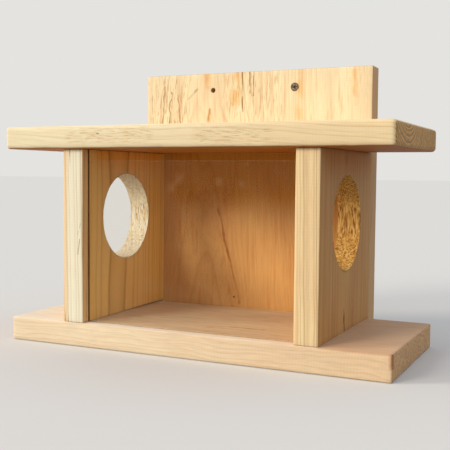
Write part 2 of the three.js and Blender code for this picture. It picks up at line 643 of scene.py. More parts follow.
@dataclass(frozen=True)
class Cedar:
    """Dressed cedar board: rings round a pith, fibres, amber streaks and grey end grain.

    White cedar is pale and matt, with thin brown late wood every 2 to 3 mm. The rings are
    a solid pattern round the line of the pith, so faces, edges and ends of a board agree.

    Attributes:
        name: the material's name.
        pith: a point on the pith's line.
        run: the way the pith's line runs.
        early: colour of the wide pale part of a ring.
        late: colour of its thin dark rim.
        amber: colour of resin streaks.
        blush: colour of broad blotches.
        ends: what end grain is multiplied by.
        end_rings: how strong the rings are on the ends, from 0 to 1.
        ring_width: mean width of a ring.
        wander: how far the rings wander along the grain.
        ring_share: how strong the rings are, from 0 to 1.
        amber_share: how strong the resin streaks are.
        blush_share: how strong the blotches are.
        fibre_share: how strong the fine fibre streaks are.
        planer_pitch: spacing of the planer's knife marks along the grain.
        knife_mark_shading: how strong they are; they are painted shading of the knife's ripples, drawn in the
            colour alone.
        painted_face_shading: faces tinted by the way they look, as painted light and shade.
        knots: knots and flecks.
        patches: parts with a colour of their own, and parts with painted shade.
        streaks: veins, mineral lines and single tears.
        frayed: parts where the planer tore the grain.
        calm: a part where the rings all but vanish.
        torn: the four colours of torn fibre, from the deepest tear to the tips, partly the fibre's own colour
            and partly painted shade in the tears and a painted highlight on the tips.
        bore: the torn entry, where the board has one.
    """

    name: str
    pith: Point
    run: Point
    early: str = "#F1D9A8"
    late: str = "#C99A5C"
    amber: str = "#D9903F"
    blush: str = "#E2B68A"
    ends: str = "#DCC29E"
    end_rings: float = 0.4
    ring_width: float = 2.3
    wander: float = 5.0
    ring_share: float = 0.7
    amber_share: float = 0.25
    blush_share: float = 0.3
    fibre_share: float = 0.1
    planer_pitch: float = 2.4
    knife_mark_shading: float = 0.008
    painted_face_shading: tuple[PaintedFaceShading, ...] = ()
    knots: tuple[Knot, ...] = ()
    patches: tuple[Patch, ...] = ()
    streaks: tuple[Streak, ...] = ()
    frayed: tuple[Fray, ...] = ()
    calm: Patch | None = None
    torn: tuple[str, str, str, str] = ("#9A5E22", "#D9A355", "#F4DCA0", "#FFF0C8")
    bore: Bore | None = None

    def material(self) -> Material:
        """Builds the node material.

        Returns:
            The material.
        """
        bench = Bench(self.name)
        add = bench.add
        turn = Vector(self.run).rotation_difference(Vector((0, 0, 1))).to_matrix()
        # millimetres in the log's own axes, with Z along the grain
        log = add(
            "ShaderNodeMapping",
            inputs={
                "Vector": bench.place.outputs["Object"],
                "Scale": TO_MM,
                "Rotation": turn.to_euler(),
                "Location": -(turn @ Vector(self.pith)),
            },
        )
        knots = [self._knot(bench, knot) for knot in self.knots]
        late, phase, bent = self._rings(add, log, [push for push, _ in knots])
        if self.calm:
            still = add(RANGE, inputs={"Value": bench.within(self.calm), "To Min": 1.0, "To Max": 0.2})
            late = add(MATH, TIMES, {0: late, 1: still})
        fine = self._drawn_out(add, bent, *Grain.FIBRES.value)
        colour = self._tinted(bench, self._side_colour(add, bent, late, fine))
        for _, spot in knots:
            colour = add(MIX, BLEND, {0: spot, 1: colour, 2: srgb(KNOT_BROWN)})
        fibres = add(MATH, TIMES, {0: fine, 1: FIBRE_RELIEF})
        relief = add(MATH, TIMES_PLUS, {0: late, 1: RING_RELIEF, 2: fibres})
        surface = self._ends(bench, log, phase, Surface(colour, relief))
        for fray in self.frayed:
            surface = self._fray(bench, log, fray, surface)
        if self.bore:
            surface = self._torn(bench, self.bore, late, surface)
        bump = add("ShaderNodeBump", inputs={"Strength": 0.8, "Distance": MM, "Height": surface.height})
        rough = add(RANGE, inputs={"Value": fine, "To Min": 0.56, "To Max": 0.74})
        shader = add(
            "ShaderNodeBsdfPrincipled",
            inputs={
                "Base Color": surface.colour,
                "Roughness": rough,
                "IOR": 1.5,
                "Specular IOR Level": 0.35,
                "Diffuse Roughness": 0.6,
                "Normal": bump,
            },
        )
        add("ShaderNodeOutputMaterial", inputs={"Surface": shader})
        return bench.material

    @staticmethod
    def _drawn_out(add: AddNode, source: Node, across: float, along: float, detail: float) -> Node:
        """Noise drawn out along the grain.

        Args:
            add: adds a node to the material.
            source: a point in the log's axes.
            across: width of a mark across the grain.
            along: its length along the grain.
            detail: octaves of finer noise.

        Returns:
            The noise, about 0.5 in the mean.
        """
        scaled = add(VECTOR, TIMES, {0: source, 1: (1 / across, 1 / across, 1 / along)})
        return add(NOISE, inputs={"Vector": scaled, "Scale": 1.0, "Detail": detail, "Roughness": 0.55})

    @staticmethod
    def _knot(bench: Bench, knot: Knot) -> tuple[Node, Node]:
        """A knot's push on the rings, and its own dark spot.

        Args:
            bench: the material under way.
            knot: the knot.

        Returns:
            The push in millimetres, and how much of the knot shows.
        """
        add = bench.add
        _, distance = bench.way_from(knot.at, knot.weigh)
        push = add(
            RANGE,
            SMOOTH,
            {"Value": distance, "From Min": 0.0, "From Max": knot.reach, "To Min": knot.pull, "To Max": 0.0},
        )
        ragged = add(NOISE, inputs={"Vector": bench.here, "Scale": 1 / KNOT_GRIT, "Detail": 2.0})
        edge = add(MATH, TIMES_PLUS, {0: ragged, 1: knot.radius, 2: distance})
        outer = 1.9 * knot.radius
        spot = add(
            RANGE,
            SMOOTH,
            {"Value": edge, "From Min": knot.radius, "From Max": outer, "To Min": knot.dark, "To Max": 0.0},
        )
        return push, spot

    def _rings(self, add: AddNode, log: Node, pushes: list[Node]) -> tuple[Node, Node, Node]:
        """The year rings.

        Args:
            add: adds a node to the material.
            log: the point in the log's axes.
            pushes: the knots' pushes.

        Returns:
            How much late wood shows, the place within a ring, and the point with its wander.
        """
        slow = self._drawn_out(add, log, *Grain.BENDS.value)
        centred = add(VECTOR, MINUS, {0: slow.outputs["Color"], 1: (0.5, 0.5, 0.5)})
        drift = add(VECTOR, SCALED, {"Vector": centred, "Scale": 4 * self.wander})
        bent = add(VECTOR, PLUS, {0: log, 1: drift})
        flat = add(VECTOR, TIMES, {0: bent, 1: (1, 1, 0)})
        radius = add(VECTOR, LENGTH, {0: flat}).outputs["Value"]
        for push in pushes:
            radius = add(MATH, PLUS, {0: radius, 1: push})
        wobble = self._drawn_out(add, log, *Grain.WOBBLES.value)
        radius = add(MATH, TIMES_PLUS, {0: wobble, 1: 0.3 * self.wander, 2: radius})
        years = add(MATH, {"operation": "DIVIDE"}, {0: radius, 1: self.ring_width})
        uneven = add(NOISE, {"noise_dimensions": "1D"}, {"W": years, "Scale": 0.4, "Detail": 1.0})
        years = add(MATH, TIMES_PLUS, {0: uneven, 1: 2.0, 2: years})
        phase = add(MATH, {"operation": "FRACT"}, {0: years})
        year = add(MATH, {"operation": "FLOOR"}, {0: years})
        rim = add(RAMP, {"stops": [(at, (v, v, v, 1.0)) for at, v in LATE_WOOD]}, {0: phase})
        lottery = add("ShaderNodeTexWhiteNoise", {"noise_dimensions": "1D"}, {"W": year})
        strength = add(RANGE, inputs={"Value": lottery.outputs["Value"], "To Min": 0.25, "To Max": 1.0})
        return add(MATH, TIMES, {0: rim, 1: strength}), phase, bent

    def _side_colour(self, add: AddNode, bent: Node, late: Node, fine: Node) -> Node:
        """Colour of the faces along the grain.

        Args:
            add: adds a node to the material.
            bent: the point in the log's axes, with its wander.
            late: how much late wood shows.
            fine: the fine fibres.

        Returns:
            The colour.
        """
        share = add(MATH, TIMES, {0: late, 1: self.ring_share})
        colour = add(MIX, BLEND, {0: share, 1: srgb(self.early), 2: srgb(self.late)})
        blotch = self._drawn_out(add, bent, *Grain.BLOTCHES.value)
        blotch = add(
            RANGE, inputs={"Value": blotch, "From Min": 0.38, "From Max": 0.68, "To Max": self.blush_share}
        )
        colour = add(MIX, BLEND, {0: blotch, 1: colour, 2: srgb(self.blush)})
        resin = self._drawn_out(add, bent, *Grain.RESIN.value)
        resin = add(
            RANGE, inputs={"Value": resin, "From Min": 0.53, "From Max": 0.74, "To Max": self.amber_share}
        )
        colour = add(MIX, BLEND, {0: resin, 1: colour, 2: srgb(self.amber)})
        dark, bright = 1 - self.fibre_share, 1 + self.fibre_share / 3
        shade = add(
            RANGE, inputs={"Value": fine, "From Min": 0.3, "From Max": 0.7, "To Min": dark, "To Max": bright}
        )
        # the planer's knife marks as painted shading of their ripples: a faint wave in the colour, with no
        # relief
        knives = add(VECTOR, TIMES, {0: bent, 1: (0, 0, math.tau / self.planer_pitch)})
        turn = add("ShaderNodeSeparateXYZ", inputs={0: knives}).outputs["Z"]
        wave = add(MATH, {"operation": "SINE"}, {0: turn})
        shade = add(MATH, TIMES_PLUS, {0: wave, 1: self.knife_mark_shading, 2: shade})
        return add(VECTOR, TIMES, {0: colour, 1: shade})

    def _tinted(self, bench: Bench, colour: Node) -> Node:
        """Adds the painted face shading, the patches, among them painted shade, and the streaks.

        Args:
            bench: the material under way.
            colour: the colour of the wood.

        Returns:
            The tinted colour.
        """
        drift = bench.add(NOISE, inputs={"Vector": bench.here, "Scale": 1 / DRIFT_SIZE, "Detail": 3.0})
        # painted light and shade: faces tinted by the way they look
        tints = [(bench.facing(tone.towards), tone.colour) for tone in self.painted_face_shading]
        tints += [(bench.within(patch), patch.colour) for patch in self.patches]
        tints += [(bench.along(drift, streak), streak.colour) for streak in self.streaks]
        for share, code in tints:
            colour = bench.add(MIX, TINT, {0: share, 1: colour, 2: srgb(code)})
        return colour

    def _ends(self, bench: Bench, log: Node, phase: Node, sides: Surface) -> Surface:
        """Adds the darker sawn ends, which drink in dirt.

        Args:
            bench: the material under way.
            log: the point in the log's axes.
            phase: the place within a ring.
            sides: the faces along the grain.

        Returns:
            The surface with its ends.
        """
        add = bench.add
        end = bench.facing(self.run, both_ways=True)
        pores = self._drawn_out(add, log, *Grain.PORES.value)
        fuzz = add(
            RANGE, inputs={"Value": pores, "From Min": 0.3, "From Max": 0.7, "To Min": 0.68, "To Max": 1.25}
        )
        pale, dark = 1 + 0.6 * self.end_rings, 1 - 0.9 * self.end_rings
        ring = add(RANGE, inputs={"Value": phase, "To Min": pale, "To Max": dark})
        shade = add(MATH, TIMES, {0: fuzz, 1: ring})
        sawn = add(MIX, TINT, {0: 1.0, 1: sides.colour, 2: srgb(self.ends)})
        sawn = add(VECTOR, TIMES, {0: sawn, 1: shade})
        colour = add(MIX, BLEND, {0: end, 1: sides.colour, 2: sawn})
        fluff = add(MATH, TIMES, {0: pores, 1: PORE_RELIEF})
        return Surface(colour, add(MIX, inputs={0: end, 1: sides.height, 2: fluff}))

    def _fray(self, bench: Bench, log: Node, fray: Fray, sound: Surface) -> Surface:
        """Adds short dark tears along the grain where the planer lifted it.

        Args:
            bench: the material under way.
            log: the point in the log's axes.
            fray: where and how the grain is torn.
            sound: the surface without them.

        Returns:
            The surface with its tears.
        """
        add = bench.add
        tears = self._drawn_out(add, log, fray.across, fray.along, 2)
        tears = add(RANGE, SMOOTH, {"Value": tears, "From Min": 0.53, "From Max": 0.66})
        tears = add(MATH, TIMES, {0: tears, 1: bench.within(fray)})
        colour = add(MIX, TINT, {0: tears, 1: sound.colour, 2: srgb(fray.colour)})
        return Surface(colour, add(MATH, TIMES_PLUS, {0: tears, 1: -TEAR_DEPTH, 2: sound.height}))

    def _torn(self, bench: Bench, bore: Bore, late: Node, sound: Surface) -> Surface:
        """Adds golden fibre in the entry: knobbly where it is cut off, streaked where it runs along.

        Args:
            bench: the material under way.
            bore: the entry.
            late: how much late wood shows.
            sound: the surface without it.

        Returns:
            The surface with its torn entry.
        """
        add = bench.add
        flat, distance = bench.way_from((0, bore.y, bore.z), (0, 1, 1))
        inner, outer = (bore.radius + reach for reach in LIP)
        inside = add(
            RANGE,
            SMOOTH,
            {"Value": distance, "From Min": inner, "From Max": outer, "To Min": 1.0, "To Max": 0.0},
        )
        upright = add(VECTOR, DOT, {0: flat, 1: (0, 0, 1 / bore.radius)}).outputs["Value"]
        upright = add(MATH, SIZE_OF, {0: upright})
        cut_off = add(RANGE, SMOOTH, {"Value": upright, "From Min": 0.2, "From Max": 0.6})
        drawn = add(VECTOR, TIMES, {0: bench.here, 1: (1.0, 1.0, 0.12)})
        streaks = add(
            NOISE, inputs={"Vector": drawn, "Scale": 1 / TORN_FIBRE, "Detail": 3.0, "Roughness": 0.6}
        )
        knobs = add(
            NOISE,
            inputs={
                "Vector": bench.here,
                "Scale": 1 / TORN_KNOB,
                "Detail": 3.0,
                "Roughness": 0.62,
                "Distortion": 1.1,
            },
        )
        tufts = add(MIX, inputs={0: cut_off, 1: streaks, 2: knobs})
        stops = [(place, srgb(code)) for place, code in zip(TORN_PLACES, self.torn)]
        gold = add(RAMP, {"stops": stops}, {0: tufts})
        rim = add(MATH, TIMES, {0: late, 1: 0.4})
        gold = add(MIX, TINT, {0: rim, 1: gold, 2: srgb(self.late)})
        colour = add(MIX, BLEND, {0: inside, 1: sound.colour, 2: gold})
        ragged = add(MATH, TIMES, {0: tufts, 1: TUFT_HEIGHT})
        return Surface(colour, add(MIX, inputs={0: inside, 1: sound.height, 2: ragged}))


@dataclass(frozen=True)
class ZincSteel:
    """Zinc-plated steel screw: dull grey metal with brown spots where the zinc is gone.

    Attributes:
        name: the material's name.
        zinc: colour of the plating.
        rust: colour of the spots.
        spot: size of a spot.
    """

    name: str = "zinc_plated_steel"
    zinc: str = "#766C5E"
    rust: str = "#443020"
    spot: float = 1.11

    def material(self) -> Material:
        """Builds the node material.

        Returns:
            The material.
        """
        bench = Bench(self.name)
        add = bench.add
        spots = add(
            NOISE, inputs={"Vector": bench.here, "Scale": 1 / self.spot, "Detail": 4.0, "Roughness": 0.6}
        )
        rusty = add(RANGE, SMOOTH, {"Value": spots, "From Min": 0.4, "From Max": 0.62})
        colour = add(MIX, BLEND, {0: rusty, 1: srgb(self.zinc), 2: srgb(self.rust)})
        rough = add(
            RANGE, inputs={"Value": spots, "From Min": 0.3, "From Max": 0.7, "To Min": 0.32, "To Max": 0.6}
        )
        shader = add(
            "ShaderNodeBsdfPrincipled", inputs={"Base Color": colour, "Metallic": 0.9, "Roughness": rough}
        )
        add("ShaderNodeOutputMaterial", inputs={"Surface": shader})
        return bench.material


@dataclass(frozen=True)
class ClearAcrylic:
    """Cast acrylic sheet: clear faces that mirror a little of the room, dusty smears, sawn edges.

    Attributes:
        name: the material's name.
        tint: what the sheet lets through.
        dust_colour: colour of the dust.
        sawn_colour: colour of the sawn edges.
        dust: the least and the most that the dust covers, from 0 to 1.
        straight: how much the faces mirror when looked at straight.
        glancing: how much they mirror at a glancing angle.
        sawn_share: how matt the sawn edges are, from 0 to 1.
        cloud: size of a cloud of dust.
        wisp: size of a wisp in a smear.
        smears: X, Z and radius of wiped smears.
    """

    name: str = "clear_cast_acrylic"
    tint: str = "#FEFDFA"
    dust_colour: str = "#F2CFA0"
    sawn_colour: str = "#D9BC92"
    dust: tuple[float, float] = (0.0, 0.025)
    straight: float = 0.007
    glancing: float = 0.6
    sawn_share: float = 0.4
    cloud: float = 13.3
    wisp: float = 3.57
    smears: tuple[Point, ...] = (
        (-7.3, 138.2, 8.0),
        (-13.4, 131.2, 6.0),
        (26.1, 136.2, 6.0),
        (49.7, 149.4, 3.0),
        (45.8, 134.6, 5.0),
    )

    def _film(self, bench: Bench) -> Node:
        """How much of the sheet the dust and the smears cover.

        Args:
            bench: the material under way.

        Returns:
            The share, from 0 to 1.
        """
        add = bench.add
        clouds = add(
            NOISE, inputs={"Vector": bench.here, "Scale": 1 / self.cloud, "Detail": 5.0, "Roughness": 0.62}
        )
        least, most = self.dust
        film = add(
            RANGE,
            inputs={"Value": clouds, "From Min": 0.48, "From Max": 0.78, "To Min": least, "To Max": most},
        )
        wisps = add(
            NOISE, inputs={"Vector": bench.here, "Scale": 1 / self.wisp, "Detail": 5.0, "Roughness": 0.7}
        )
        for x, z, radius in self.smears:
            _, distance = bench.way_from((x, 0, z), (1, 0, 1))
            distance = add(MATH, TIMES_PLUS, {0: wisps, 1: 1.6 * radius, 2: distance})
            inner, outer = 0.5 * radius, 1.7 * radius
            smear = add(
                RANGE,
                SMOOTH,
                {"Value": distance, "From Min": inner, "From Max": outer, "To Min": 2 * most, "To Max": 0.0},
            )
            film = add(MATH, PLUS, {0: film, 1: smear})
        return film

    def material(self) -> Material:
        """Builds the node material.

        Returns:
            The material.
        """
        bench = Bench(self.name)
        add = bench.add
        film = self._film(bench)
        clear = add("ShaderNodeBsdfTransparent", inputs={"Color": srgb(self.tint)})
        glossy = add("ShaderNodeBsdfGlossy", inputs={"Roughness": 0.04})
        # Schlick's rule, which holds for the rear face too, kept low so that the inside shows
        facing = add("ShaderNodeLayerWeight", inputs={"Blend": 0.5}).outputs["Facing"]
        glance = add(MATH, {"operation": "POWER"}, {0: facing, 1: 5.0})
        share = add(MATH, TIMES_PLUS, {0: glance, 1: self.glancing, 2: self.straight})
        sheet = add("ShaderNodeMixShader", inputs={0: share, 1: clear, 2: glossy})
        dust = add("ShaderNodeBsdfDiffuse", inputs={"Color": srgb(self.dust_colour)})
        sheet = add("ShaderNodeMixShader", inputs={0: film, 1: sheet, 2: dust})
        # the saw leaves the top and bottom edges matt, so that they catch the light as a pale line
        upright = add(VECTOR, DOT, {0: bench.place.outputs["Normal"], 1: (0, 0, 1)}).outputs["Value"]
        upright = add(MATH, SIZE_OF, {0: upright})
        edge = add(
            RANGE, SMOOTH, {"Value": upright, "From Min": 0.3, "From Max": 0.8, "To Max": self.sawn_share}
        )
        sawn = add("ShaderNodeBsdfDiffuse", inputs={"Color": srgb(self.sawn_colour)})
        both = add("ShaderNodeMixShader", inputs={0: edge, 1: sheet, 2: sawn})
        add("ShaderNodeOutputMaterial", inputs={"Surface": both})
        return bench.material


@dataclass
class Screw:
    """A countersunk wood screw with a cross recess, pointing down with its head at 0.

    Attributes:
        length: its whole length.
        head_radius: radius of its head.
        rim: height of the head's straight rim.
        head: height of the whole head.
        shank_radius: radius of the plain shank.
        root_radius: radius at the root of the thread.
        plain_shank: how far down the thread starts.
        point: length of the tapered point.
        pitch: from one turn of the thread to the next.
        crest: half the thread's width, as a share of the pitch.
        proud: how far the thread stands out past the shank.
        run_in: how far the thread takes to rise.
        slices: slices of the shank in one pitch.
        steps: faces round the screw.
        recess_span: how wide the cross is.
        recess_slot: how wide its bars are.
        recess_depth: how deep it goes.
        slack: play of the head in its seat.
    """

    length: float = 38.0
    head_radius: float = 3.7
    rim: float = 0.4
    head: float = 2.4
    shank_radius: float = 1.95
    root_radius: float = 1.45
    plain_shank: float = 12.0
    point: float = 6.0
    pitch: float = 1.9
    crest: float = 0.28
    proud: float = 0.35
    run_in: float = 1.5
    slices: int = 8
    steps: int = 24
    recess_span: float = 4.2
    recess_slot: float = 1.05
    recess_depth: float = 1.7
    slack: float = 0.12

    def _turned(self, outline: list[tuple[float, float]]) -> BMesh:
        """Spins an outline of (radius, height) round Z.

        Args:
            outline: the points from the top on the axis to the bottom on the axis.

        Returns:
            A closed mesh.
        """
        bm = bmesh.new()
        verts = [bm.verts.new((radius, 0.0, height)) for radius, height in outline]
        edges = [bm.edges.new(pair) for pair in zip(verts, verts[1:])]
        bmesh.ops.spin(
            bm,
            geom=verts + edges,
            cent=(0, 0, 0),
            axis=(0, 0, 1),
            angle=math.tau,
            steps=self.steps,
            use_merge=True,
        )
        bmesh.ops.remove_doubles(bm, verts=bm.verts, dist=MERGE)
        bmesh.ops.recalc_face_normals(bm, faces=bm.faces)
        return bm

    def seat(self) -> BMesh:
        """The hole that the screw sits in.

        Returns:
            The countersunk hole as a closed mesh that sticks out at the top.
        """
        top = self.head_radius + self.slack
        return self._turned(
            [
                (0.0, OVERRUN),
                (top, OVERRUN),
                (top, -self.rim),
                (self.shank_radius, -self.head - self.slack),
                (self.shank_radius, -self.plain_shank),
                (self.root_radius, -self.plain_shank - 1.0),
                (self.root_radius, -self.length + self.point),
                (0.0, -self.length - self.slack),
            ]
        )

    def hole(self, radius: float, depth: float) -> BMesh:
        """A plain hole along Z.

        Args:
            radius: its radius.
            depth: how deep it goes below 0.

        Returns:
            The hole as a closed mesh.
        """
        return self._turned([(0.0, OVERRUN), (radius, OVERRUN), (radius, -depth), (0.0, -depth)])

    def _wing(self, quarter: bool) -> BMesh:
        """One tapered bar of the cross recess.

        Args:
            quarter: if the bar is turned by a quarter.

        Returns:
            The bar as a closed mesh.
        """
        half = Vector((self.recess_span / 2, self.recess_slot / 2, 0))
        bar = solid_box(Vector((-half.x, -half.y, -self.recess_depth)), Vector((half.x, half.y, 1.0)))
        foot = [v for v in bar.verts if v.co.z < 0]
        bmesh.ops.scale(bar, vec=(0.5, 0.7, 1.0), verts=foot)
        if quarter:
            bmesh.ops.rotate(bar, matrix=Matrix.Rotation(math.pi / 2, 3, "Z"), verts=bar.verts)
        return bar

    def _thread(self, vert: BMVert) -> None:
        """Raises the thread at one point of the shank.

        Args:
            vert: a point of the turned screw, moved in place.
        """
        depth = -vert.co.z
        if depth <= self.plain_shank or depth >= self.length:
            return
        turn = math.atan2(vert.co.y, vert.co.x) / math.tau
        place = (depth / self.pitch - turn) % 1.0
        crest = max(0.0, 1.0 - abs(place - 0.5) / self.crest)
        risen = soft_step(depth, self.plain_shank, self.plain_shank + self.run_in)
        thickness = min(1.0, (self.length - depth) / self.point)
        height = self.shank_radius + self.proud - self.root_radius
        radius = thickness * (self.root_radius + crest * risen * height)
        flat = math.hypot(vert.co.x, vert.co.y) or 1.0
        vert.co.x *= radius / flat
        vert.co.y *= radius / flat

    def mesh(self) -> Mesh:
        """The whole screw.

        Returns:
            The screw's mesh in metres.
        """
        body = self.length - self.plain_shank
        rings = round(body / (self.pitch / self.slices))
        threaded = [(self.root_radius, -self.plain_shank - body * step / rings) for step in range(1, rings)]
        outline = [
            (0.0, 0.0),
            (self.head_radius - 0.15, 0.0),
            (self.head_radius, -0.12),
            (self.head_radius, -self.rim),
            (self.shank_radius + 0.3, -self.head + 0.15),
            (self.shank_radius, -self.head - 0.3),
            (self.shank_radius, -self.plain_shank + 0.8),
            (self.root_radius, -self.plain_shank),
            *threaded,
            (0.0, -self.length),
        ]
        bm = self._turned(outline)
        for vert in bm.verts:
            self._thread(vert)
        first = carved(bm, [self._wing(False)], "screw_slot")
        slotted = bmesh.new()
        slotted.from_mesh(first)
        bpy.data.meshes.remove(first)
        bmesh.ops.scale(slotted, vec=TO_MM, verts=slotted.verts)
        return carved(slotted, [self._wing(True)], "wood_screw")


@dataclass
class Fastenings:
    """The seventeen screws and the holes that they sit in.

    Attributes:
        screw: the screw that all of them are.
        families: the way the heads look, by the start of the node's name.
        spare_hole: mouth of the hanging hole without a screw.
        spare_hole_radius: its radius.
        board_thickness: how deep it goes.
    """

    screw: Screw = field(default_factory=Screw)
    families: dict[str, Point] = field(
        default_factory=lambda: {
            "mounting_screw": (0, -1, 0),
            "roof_screw": (0, 0, 1),
            "floor_screw": (0, 0, -1),
            "back_screw": (0, 1, 0),
            "floor_edge_screw": (0, 1, 0),
            "roof_edge_screw": (0, 1, 0),
        }
    )
    spare_hole: Point = (-40.0, BACK_FACE, 219.0)
    spare_hole_radius: float = 2.4
    board_thickness: float = 19.0

    def places(self) -> dict[str, Matrix]:
        """Where each screw stands.

        Returns:
            The place and turn of each screw in millimetres, by node.
        """
        found = {}
        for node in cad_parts:
            family = next((f for f in self.families if node == f or node.startswith(f + "_")), None)
            if family is None:
                continue
            way = Vector(self.families[family])
            low, high = box_of(node)
            middle, half = (low + high) / 2, (high - low) / 2
            top = middle + Vector([w * h for w, h in zip(way, half)])
            found[node] = Matrix.Translation(top) @ aimed(way)
        return found

    def holes(self, board: str) -> list[BMesh]:
        """The holes in one board.

        Args:
            board: the board's node.

        Returns:
            A closed mesh for each hole, in millimetres.
        """
        low, high = box_of(board)
        found = []
        for node, place in self.places().items():
            screw_low, screw_high = box_of(node)
            if all(screw_low[i] < high[i] and screw_high[i] > low[i] for i in range(3)):
                seat = self.screw.seat()
                seat.transform(place)
                found.append(seat)
        if board == "back_board":
            spare = self.screw.hole(self.spare_hole_radius, self.board_thickness + OVERRUN)
            spare.transform(Matrix.Translation(self.spare_hole) @ aimed(Vector((0, -1, 0))))
            found.append(spare)
        return found

    def build(self) -> None:
        """Makes every screw from one mesh."""
        material = ZincSteel().material()
        pattern = self.screw.mesh()
        for node, place in sorted(self.places().items()):
            mesh = pattern.copy()
            metres = place.copy()
            metres.translation = place.translation * MM
            mesh.transform(metres)
            finish_piece(f"{node}_steel", mesh, material, Body.HOUSE, node, sharp=32)
        bpy.data.meshes.remove(pattern)


@dataclass
class Board:
    """A cedar board, rebuilt in its node's box with worn arrises.

    Attributes:
        node: the CAD node that it replaces.
        slot: the record's slot for its finish; not used.
        finish: its cedar.
        ease: how far its arrises are rounded.
        wear: how deep the wear along the arrises goes.
        cell: size of the patches that wear on their own.
        arris_steps: segments of the rounding.
    """

    node: str
    slot: str
    finish: Cedar
    ease: float
    wear: float
    cell: float = 4.0
    arris_steps: int = 5

    def _stock(self) -> BMesh:
        """The board before it is bored.

        Returns:
            A closed mesh with eased and worn arrises, in millimetres.
        """
        low, high = box_of(self.node)
        bm = eased_box(low, high, self.ease, self.arris_steps)
        for axis in Axis:
            slice_evenly(bm, axis, self.cell)
        bm.normal_update()
        for vert in bm.verts:
            self._wear(vert, low, high)
        return bm

    def _wear(self, vert: BMVert, low: Vector, high: Vector) -> None:
        """Moves one point of the surface in by what planing and handling took off.

        Args:
            vert: the point, moved in place.
            low: the board's lowest corner.
            high: its highest corner.
        """
        near = sorted(min(vert.co[i] - low[i], high[i] - vert.co[i]) for i in range(3))
        arris = 1.0 - soft_step(near[1], 0.4 * self.ease, 1.5 * self.ease + 0.4)
        rub = 0.5 + 0.5 * noise.noise(vert.co / RUB_SIZE)
        nick = max(0.0, noise.noise(vert.co / NICK_SIZE + Vector((7, 3, 1))))
        plane = 0.5 + 0.5 * noise.noise(vert.co / PLANE_SIZE + Vector((2, 9, 4)))
        depth = PLANE_DEPTH * plane + arris * self.wear * (0.55 * rub + 0.7 * nick**2)
        vert.co -= vert.normal * depth

    def _cutters(self) -> list[BMesh]:
        """Cuts of this board alone, apart from its screw holes."""
        return []

    def build(self, fastenings: Fastenings) -> Object:
        """Builds, bores and finishes the board.

        Args:
            fastenings: the screws, which give its holes.

        Returns:
            The finished piece.
        """
        cutters = self._cutters() + fastenings.holes(self.node)
        mesh = carved(self._stock(), cutters, self.node)
        cedar = self.finish.material()
        return finish_piece(f"{self.node}_cedar", mesh, cedar, Body.HOUSE, self.node, sharp=35)


@dataclass
class FloorBoard(Board):
    """The floor, with a splinter gone from its front right corner.

    Attributes:
        chip: middle of the splinter.
        chip_size: its size.
        chip_turn: how far it is turned round Z, in degrees.
    """

    chip: Point = (163.0, FRONT_EDGE, 15.5)
    chip_size: Point = (1.4, 9.0, 8.0)
    chip_turn: float = 9.0

    def _cutters(self) -> list[BMesh]:
        """The lost splinter.

        Returns:
            Its cutter.
        """
        half = Vector(self.chip_size) / 2
        tool = solid_box(-half, half)
        turn = Matrix.Rotation(math.radians(self.chip_turn), 3, "Z")
        bmesh.ops.rotate(tool, matrix=turn, verts=tool.verts)
        bmesh.ops.translate(tool, vec=self.chip, verts=tool.verts)
        return [tool]


@dataclass(frozen=True)
class Split:
    """A drying split in a wall's front edge, open at one end of the board.

    Attributes:
        x: where it is.
        length: how far it runs.
        at_top: if it opens at the board's top, and not at its foot.
        width: how wide it opens.
        depth: how deep it goes.
    """

    x: float
    length: float
    at_top: bool
    width: float = 1.1
    depth: float = 5.0


